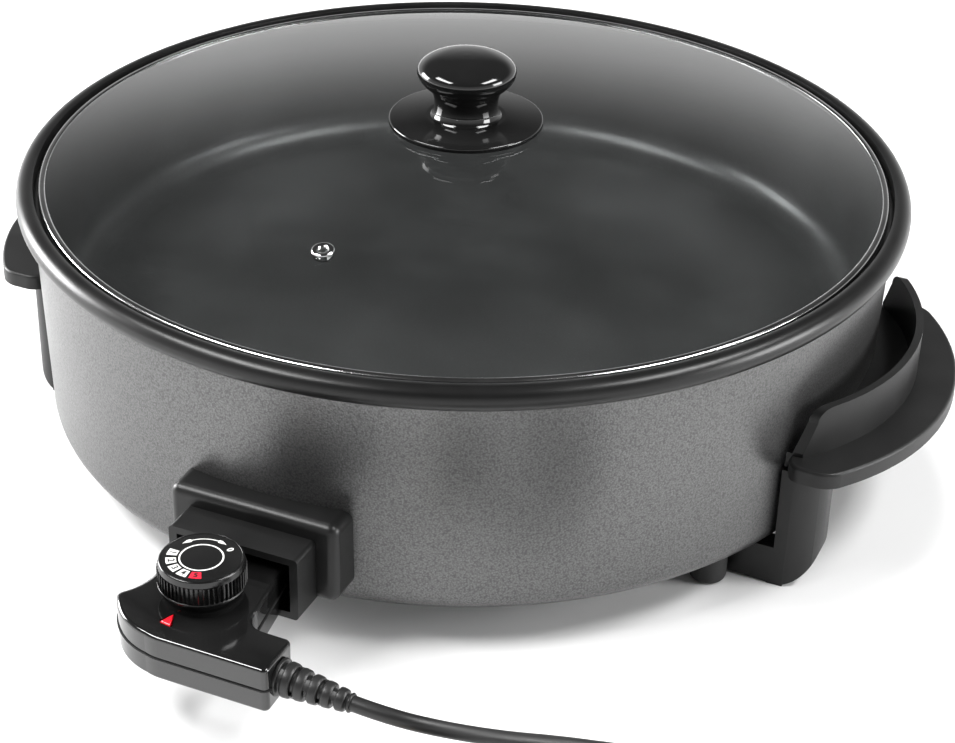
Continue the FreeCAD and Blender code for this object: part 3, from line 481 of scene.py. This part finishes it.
def addLid():
    rows = lidSizes["rows"]
    reaches = [lidSizes["radius"] * i / rows for i in range(rows + 1)]
    glass = [Vector((r, glassHeight(r))) for r in reaches]
    glass += [Vector((r, glassHeight(r, lidSizes["thickness"]))) for r in reversed(reaches)]
    addPiece("lidGlass", turned(glass, sides=192, sharp=50), "lid", "lid_clear", ["lid_glass"])
    band = turned(filleted(bandLine), sides=256, sharp=60)
    addPiece("lidBand", band, "lid", "bright_steel", ["lid_band"])
    edge, top = lidSizes["discRadius"], lidSizes["discTop"]
    disc = filleted([(0, glassHeight(0)), (edge, glassHeight(edge) + 0.1, 0.5), (edge, top - 1.0, 1.1),
                     (20, top - 0.1, 2), (0, top)])
    addPiece("knobDisc", turned(disc, sides=128), "lid", "knob_gloss", ["knob_disc"])
    line = smoothLine([(r, lidSizes["knobTop"] + z) for r, z in knobLine])
    knob = turned(line + [Vector((0, line[-1].y))], sides=96, sharp=50)
    addPiece("lidKnob", knob, "lid", "knob_gloss", ["lid_knob"])


# The legs' own solids with their edges softened
legLook = {"round": 2.6, "segments": 4, "cornerAngle": 40, "flatAngle": 1}


def addLegs():
    for end in ("front_left", "front_right", "rear_left", "rear_right"):
        work = bmesh.new()
        work.from_mesh(nodes["leg_" + end].data)
        bmesh.ops.remove_doubles(work, verts=work.verts, dist=samePlace)
        bmesh.ops.dissolve_limit(work, angle_limit=math.radians(legLook["flatAngle"]), verts=work.verts,
                                 edges=work.edges)
        mesh = bpy.data.meshes.new("leg")
        work.to_mesh(mesh)
        work.free()
        source = bpy.data.objects.new("source", mesh)
        bevel = source.modifiers.new("soft", "BEVEL")
        bevel.width = legLook["round"] * mm
        bevel.segments = legLook["segments"]
        bevel.limit_method = "ANGLE"
        bevel.angle_limit = math.radians(legLook["cornerAngle"])
        name = "leg" + end.title().replace("_", "")
        addPiece(name, tidyMesh(takeMesh(source)), "pan", "handle_plastic", ["leg_" + end])


addPan()
addLegs()
addLid()
print("pan, legs and lid made")


# Repeats a small mesh in a ring round the Z axis, for the dial's ribs
def ringTree():
    tree, given = newTree("ring", {"Count": "Int", "Radius": "Float", "Material": "Material"})
    circle = addNode(tree, "GeometryNodeMeshCircle", {"Vertices": given["Count"], "Radius": given["Radius"]})
    place = addNode(tree, "GeometryNodeInputPosition").outputs[0]
    turn = addNode(tree, "FunctionNodeAlignRotationToVector", {"Vector": place}, axis="X").outputs[0]
    copies = addNode(tree, "GeometryNodeInstanceOnPoints",
                     {"Points": circle.outputs[0], "Instance": given["Geometry"], "Rotation": turn}).outputs[0]
    endTree(tree, copies, given["Material"])
    return tree


ring = ringTree()


def joinedMesh(meshes, name):
    work = bmesh.new()
    for mesh in meshes:
        work.from_mesh(mesh)
    result = bpy.data.meshes.new(name)
    work.to_mesh(result)
    work.free()
    return result


# A closed bar: cross sections given as rings of points
def loft(sections):
    count = len(sections[0])
    points = [tuple(c * mm for c in p) for section in sections for p in section]
    faces = []
    for i in range(len(sections) - 1):
        for k in range(count):
            a, b = i * count + k, i * count + (k + 1) % count
            faces.append((a, b, b + count, a + count))
    faces += [tuple(range(count)), tuple(range(len(points) - count, len(points)))]
    mesh = bpy.data.meshes.new("loft")
    mesh.from_pydata(points, [], faces)
    return tidyMesh(mesh)


# The dial: a turned body with a ring of ribs, and a face with plain marks
dialSizes = {"y": -268.5, "low": 62.5, "top": 75.0, "radius": 19.2, "faceRadius": 17.4, "faceDrop": 0.2,
             "faceThick": 0.5, "ribs": 56, "ribLow": 1.0, "ribTop": 3.3, "ribDepth": 0.75}
ribSection = [(-0.6, -0.3), (0.55, -0.3), (0.8, 0), (0.55, 0.3), (-0.6, 0.3)]
inks = {"white": (0.72, 0.72, 0.70), "red": (0.62, 0.015, 0.035), "black": (0.012, 0.012, 0.012)}


def addDial():
    centre = (0, dialSizes["y"] * mm + panY, 0)
    top, low, radius, inset = (dialSizes[k] for k in ("top", "low", "radius", "faceRadius"))
    body = filleted([(0, top - 0.6), (inset, top - 0.6, 0.1), (inset, top, 0.2), (radius - 0.9, top, 0.9),
                     (radius - 0.4, top - 3.4, 0.6), (radius - 0.9, top - 3.6), (radius - 0.9, low + 1.2),
                     (radius + 0.1, low + 1.1, 0.3), (radius + 0.1, low, 0.3), (0, low)])
    addPiece("dialBody", turned(body, 128, centre, 40), "dial", "dial_black", ["temperature_dial"])
    rib = loft([[(x, y, z) for x, y in ribSection]
                for z in (low + dialSizes["ribLow"], top - dialSizes["ribTop"])])
    ribs = runTree(ring, rib, {"Count": dialSizes["ribs"], "Radius": (radius - dialSizes["ribDepth"]) * mm})
    ribs.transform(Matrix.Translation(centre))
    addPiece("dialRibs", tidyMesh(ribs), "dial", "dial_black")
    faceTop = top - dialSizes["faceDrop"]
    faceLow = faceTop - dialSizes["faceThick"]
    face = filleted([(0, faceTop), (inset - 0.1, faceTop, 0.1), (inset - 0.1, faceLow), (0, faceLow)])
    addPiece("dialFace", turned(face, 128, centre), "dial", "dial_print", ["dial_face"])


# The dial's marks, in degrees and millimetres from its axis: boxes as middle and width
markLook = {"height": -0.1, "thick": 0.12, "boxRadii": (10.7, 15.2), "arcAngles": (157, 68),
            "arcRadii": (12.6, 14.4), "arcHead": 0.16, "headWide": 1.15, "headEnd": 1.3, "lineWide": 0.28,
            "ringRadii": (9.0, 9.7)}
markBoxes = {"5": (-70.5, 21), "4": (-95.5, 19), "3": (-120, 18), "2": (-145, 18), "1": (-171, 18)}
digitLook = {"radius": 12.9, "size": 4.1, "height": -0.03, "zeroAngle": 51, "zeroRadius": 13.3, "zeroSize": 4.2,
             "fatten": 0.1, "thick": 0.04}


# A flat mark between two angles and two radii; one with a head is a thin line with two arrowheads
def ringMark(angles, radii, steps, head=0.0):
    first, last = angles
    inner, outer = radii
    low, high = [], []
    for i in range(steps + 1):
        share = i / steps
        angle = math.radians(first + (last - first) * share)
        end = min(share, 1 - share)
        pinch = 1.0
        if end < head:
            pinch = end / head * markLook["headWide"]
        elif head and end > head * markLook["headEnd"]:
            pinch = markLook["lineWide"]
        middle = (inner + outer) / 2
        half = (outer - inner) / 2 * pinch
        way = Vector((math.cos(angle), math.sin(angle)))
        low.append(way * (middle - half))
        high.append(way * (middle + half))
    top = dialSizes["top"] + markLook["height"]
    points = [(p.x, p.y, z) for z in (top, top - markLook["thick"]) for p in low + high]
    row = steps + 1
    size = 2 * row
    faces = []
    for a in range(steps):
        b, c, d = a + 1, a + 1 + row, a + row
        faces += [(a, b, c, d), (d + size, c + size, b + size, a + size), (a, a + size, b + size, b),
                  (d, c, c + size, d + size)]
    if last - first != 360:
        faces += [(0, row, row + size, size), (steps, steps + size, steps + row + size, steps + row)]
    mesh = bpy.data.meshes.new("mark")
    mesh.from_pydata([(x * mm, (y + dialSizes["y"]) * mm + panY, z * mm) for x, y, z in points], [], faces)
    return tidyMesh(mesh)


def numeral(text, angle, radius, size, height):
    curve = bpy.data.curves.new("numeral", "FONT")
    curve.body = text
    curve.size = size * mm
    curve.align_x = "CENTER"
    curve.align_y = "CENTER"
    curve.offset = digitLook["fatten"] * mm
    curve.extrude = digitLook["thick"] * mm
    mesh = takeMesh(bpy.data.objects.new("numeral", curve))
    way = math.radians(angle)
    place = Vector((radius * math.cos(way) * mm, (dialSizes["y"] + radius * math.sin(way)) * mm + panY,
                    (dialSizes["top"] + height) * mm))
    mesh.transform(Matrix.Translation(place) @ Matrix.Rotation(way + math.pi / 2, 4, "Z"))
    return tidyMesh(mesh)


def printInk(name, colour):
    return moulded(name, colour, tuple(c * 0.92 for c in colour), (0.35, 0.5), 2500, 0.002)


def boxMark(name):
    angle, wide = markBoxes[name]
    return ringMark((angle - wide / 2, angle + wide / 2), markLook["boxRadii"], 24)


def addDialMarks():
    white, red, black = (printInk("ink" + name.title(), colour) for name, colour in inks.items())
    plates = [boxMark(name) for name in markBoxes if name != "5"]
    plates += [ringMark(markLook["arcAngles"], markLook["arcRadii"], 40, markLook["arcHead"]),
               ringMark((0, 360), markLook["ringRadii"], 72),
               numeral("0", digitLook["zeroAngle"], digitLook["zeroRadius"], digitLook["zeroSize"],
                       markLook["height"])]
    addPiece("dialWhiteMarks", joinedMesh(plates, "whiteMarks"), "dial", "dial_print", finish=white)
    addPiece("dialRedMark", boxMark("5"), "dial", "dial_print", finish=red)
    digits = [numeral(name, angle, digitLook["radius"], digitLook["size"], digitLook["height"])
              for name, (angle, wide) in markBoxes.items()]
    addPiece("dialNumerals", joinedMesh(digits, "numerals"), "dial", "dial_print", finish=black)


# The line where the control's halves meet: straight runs and arcs, as roundedLine takes them
controlLine = [(18.4, -233.5), (-18.4, -233.5), (-20.7, -234.4, -21.8, -236.6), (-26.6, -262.0),
               (-27.6, -272.5, -32.4, -281.4), (-33.2, -283.4, -32.6, -285.6), (-22.6, -296.9, -8.6, -302.9),
               (-5.4, -303.7, -2.0, -304.0), (47.0, -304.0), (49.3, -303.1, 50.0, -300.8), (49.6, -284.0),
               (48.8, -281.2, 46.0, -280.2), (35.0, -280.0), (28.4, -276.6, 26.4, -269.0), (21.8, -236.6),
               (20.7, -234.4, 18.4, -233.5)]


# A closed line of straight runs (x, y) and arcs (middle x, middle y, x, y)
def roundedLine(steps, count=8):
    points = [Vector(steps[0])]
    for step in steps[1:]:
        start, end = points[-1], Vector(step[-2:])
        if len(step) == 2:
            points.append(end)
            continue
        middle = Vector(step[:2])
        ab, ac = middle - start, end - start
        twice = 2 * (ab.x * ac.y - ab.y * ac.x)
        offset = Vector((ac.y * ab.length_squared - ab.y * ac.length_squared,
                         ab.x * ac.length_squared - ac.x * ab.length_squared)) / twice
        centre = start + offset
        sweep = (end - centre).angle_signed(start - centre)
        for k in range(1, count + 1):
            angle = sweep * k / count
            arm = start - centre
            points.append(centre + Vector((arm.x * math.cos(angle) - arm.y * math.sin(angle),
                                           arm.x * math.sin(angle) + arm.y * math.cos(angle))))
    return points[:-1]


seamSizes = {"proud": 0.05, "deep": 0.6, "low": 44.8, "high": 45.2}


def addSeam():
    line = roundedLine(controlLine)
    outer, inner = [], []
    for i, here in enumerate(line):
        along = (line[(i + 1) % len(line)] - line[i - 1]).normalized()
        inwards = Vector((along.y, -along.x))
        outer.append(here - inwards * seamSizes["proud"])
        inner.append(here + inwards * seamSizes["deep"])
    low, high = seamSizes["low"], seamSizes["high"]
    rings = ((inner, low), (outer, low), (outer, high), (inner, high))
    count = len(line)
    points = [(p.x * mm, (p.y + panY / mm) * mm, z * mm) for side, z in rings for p in side]
    faces = [(i * count + k, i * count + (k + 1) % count, (i + 1) % 4 * count + (k + 1) % count,
              (i + 1) % 4 * count + k) for i in range(4) for k in range(count)]
    mesh = bpy.data.meshes.new("seam")
    mesh.from_pydata(points, [], faces)
    addPiece("controlSeam", tidyMesh(mesh), "control", "control_gloss", finish=seamFinish)


# The pointer: a triangle that closes in towards its top, levels as height and share of the full size
pointerCorners = [(-3.5, -287.2), (-5.9, -294.2), (-0.7, -295.0)]
pointerLevels = [(53.0, 1.0), (56.4, 1.0), (56.75, 0.86), (56.95, 0.45)]


def addPointer():
    middle = Vector([sum(corner[k] for corner in pointerCorners) / 3 for k in (0, 1)])
    rings = []
    for z, share in pointerLevels:
        corners = [middle + (Vector(corner) - middle) * share for corner in pointerCorners]
        rings.append([(p.x, p.y + panY / mm, z) for p in corners])
    addPiece("pointerLens", loft(rings), "control", "lens_red", ["pointer_lens"])


# The strain relief: ribs that get slimmer, turned as one body, and bridges between them on alternate sides
reliefSizes = {"start": (49.5, -292.0, 45.0), "droop": 4.0, "length": 34.0, "bare": 4.0, "ribs": 5,
               "firstRib": 3.0, "firstRadius": 8.0, "lastRadius": 5.3, "sharp": 50}
reliefStart = [(0, 0), (8.4, 0, 0.4), (8.4, 1.6, 0.5), (6.0, 1.8, 0.2)]
bridgeSection = [(-0.45, 3), (-0.4, 0.5), (0, 0.4), (0.4, 0.5), (0.45, 3)]  # radians, millimetres below the rib
bridgeEnds = (-2.0, 0.8)


def addRelief():
    count, length = reliefSizes["ribs"], reliefSizes["length"]
    first, last = reliefSizes["firstRadius"], reliefSizes["lastRadius"]
    pitch = (length - reliefSizes["bare"]) / count
    profile = list(reliefStart)
    bridges = []
    for i in range(count):
        fat = first + (last - first) * i / (count - 1)
        low = reliefSizes["firstRib"] + i * pitch
        profile += [(fat - 2.2, low, 0.3), (fat, low, 1.3), (fat - 0.5, low + pitch - 1.5, 1.2),
                    (fat - 2.6, low + pitch - 1.5, 0.3)]
        for side in (0, 180):
            turn = math.radians(side + 90 * (i % 2) + 45)
            bridges.append(loft([[(math.cos(turn + t) * (fat - below), math.sin(turn + t) * (fat - below), low + z)
                                  for t, below in bridgeSection] for z in bridgeEnds]))
    profile += [(4.4, length - 1.0, 0.4), (4.2, length, 0.5), (0, length)]
    body = turned(filleted(profile, 4), 64, (0, 0, 0), reliefSizes["sharp"])
    mesh = joinedMesh([body] + bridges, "relief")
    way = Matrix.Rotation(math.radians(90 + reliefSizes["droop"]), 4, "Y")
    x, y, z = reliefSizes["start"]
    mesh.transform(Matrix.Translation((x * mm, y * mm + panY, z * mm)) @ way)
    mesh.shade_smooth()
    mesh.set_sharp_from_angle(angle=math.radians(reliefSizes["sharp"]))
    addPiece("strainRelief", mesh, "control", "relief_rubber", ["strain_relief"])


addDial()
addDialMarks()
addSeam()
addPointer()
addRelief()
print("dial and control trim made")


# Floor, background and lamps; the far floor clears to white, from and to a distance in metres
stageLook = {"reach": 9, "rough": 0.9, "albedo": 0.80, "bounce": 0.25, "clearFrom": 0.55, "clearTo": 1.3}


def addStage():
    floor = bpy.data.meshes.new("floor")
    reach = stageLook["reach"]
    floor.from_pydata([(-reach, -reach, 0), (reach, -reach, 0), (reach, reach, 0), (-reach, reach, 0)], [],
                      [(0, 1, 2, 3)])
    floorObject = bpy.data.objects.new("floor", floor)
    scene.collection.objects.link(floorObject)
    material, tree, shader, place = newFinish("paleFloor", Roughness=stageLook["rough"], Specular_IOR_Level=0.0)
    path = addNode(tree, "ShaderNodeLightPath").outputs
    tone = addNode(tree, "ShaderNodeMix", {0: path["Is Diffuse Ray"], 2: stageLook["albedo"],
                                           3: stageLook["bounce"]}).outputs[0]
    tree.links.new(tone, shader.inputs["Base Color"])
    seen = sums(tree, "SUBTRACT", 1, path["Is Diffuse Ray"])
    distance = addNode(tree, "ShaderNodeVectorMath", {0: place}, operation="LENGTH").outputs["Value"]
    far = spread(tree, distance, 0, 1, stageLook["clearFrom"], stageLook["clearTo"])
    glow = addNode(tree, "ShaderNodeEmission", {"Strength": sums(tree, "MULTIPLY", seen, far)})
    both = addNode(tree, "ShaderNodeAddShader", {0: shader.outputs[0], 1: glow.outputs[0]})
    tree.links.new(both.outputs[0], tree.nodes["Material Output"].inputs["Surface"])
    floor.materials.append(material)


# White to the camera; to the object a pale horizon under a dark ceiling
sky = {"low": 0.10, "high": 0.50, "bright": 1.0, "dark": 0.04, "fill": 0.06}


def addWorld():
    world = bpy.data.worlds.new("studio")
    scene.world = world
    world.use_nodes = True
    tree = world.node_tree
    path = addNode(tree, "ShaderNodeLightPath").outputs
    direction = addNode(tree, "ShaderNodeTexCoord").outputs["Generated"]
    height = addNode(tree, "ShaderNodeSeparateXYZ", {0: direction}).outputs["Z"]
    fade = addNode(tree, "ShaderNodeMapRange", {"Value": height, "From Min": sky["low"], "From Max": sky["high"],
                                                "To Min": sky["bright"], "To Max": sky["dark"]},
                   interpolation_type="SMOOTHSTEP").outputs[0]
    bounced = addNode(tree, "ShaderNodeMix", {0: path["Is Diffuse Ray"], 2: fade, 3: sky["fill"]}).outputs[0]
    strength = sums(tree, "MAXIMUM", path["Is Camera Ray"], bounced)
    tree.links.new(strength, tree.nodes["Background"].inputs["Strength"])
    tree.nodes["Background"].inputs["Color"].default_value = (1, 1, 1, 1)


# Large soft lamps aimed at the object: direction and rise in degrees, distance and size in metres
lampAim = Vector((0, panY, 0.09))
lamps = {"leftHigh": {"turn": -136, "rise": 52, "away": 1.5, "wide": 0.95, "tall": 0.30, "power": 24},
         "rightHigh": {"turn": 4, "rise": 52, "away": 1.5, "wide": 0.8, "tall": 0.30, "power": 18},
         "leftSide": {"turn": -176, "rise": 12, "away": 1.5, "wide": 0.7, "tall": 0.6, "power": 40},
         "rightSide": {"turn": 8, "rise": 12, "away": 1.5, "wide": 0.6, "tall": 0.5, "power": 18},
         "overhead": {"turn": 113, "rise": 84, "away": 1.6, "wide": 0.6, "tall": 0.6, "power": 18}}


def addLamps():
    for name, lamp in lamps.items():
        data = bpy.data.lights.new(name + "Lamp", "AREA")
        data.shape = "RECTANGLE"
        data.size = lamp["wide"]
        data.size_y = lamp["tall"]
        data.energy = lamp["power"]
        light = bpy.data.objects.new(name + "Lamp", data)
        light.visible_glossy = name != "overhead"
        scene.collection.objects.link(light)
        turn, rise = math.radians(lamp["turn"]), math.radians(lamp["rise"])
        way = Vector((math.cos(turn) * math.cos(rise), math.sin(turn) * math.cos(rise), math.sin(rise)))
        light.location = lampAim + way * lamp["away"]
        light.rotation_euler = way.to_track_quat("Z", "Y").to_euler()


addStage()
addWorld()
addLamps()
scene.view_settings.view_transform = "Standard"
print("stage set")
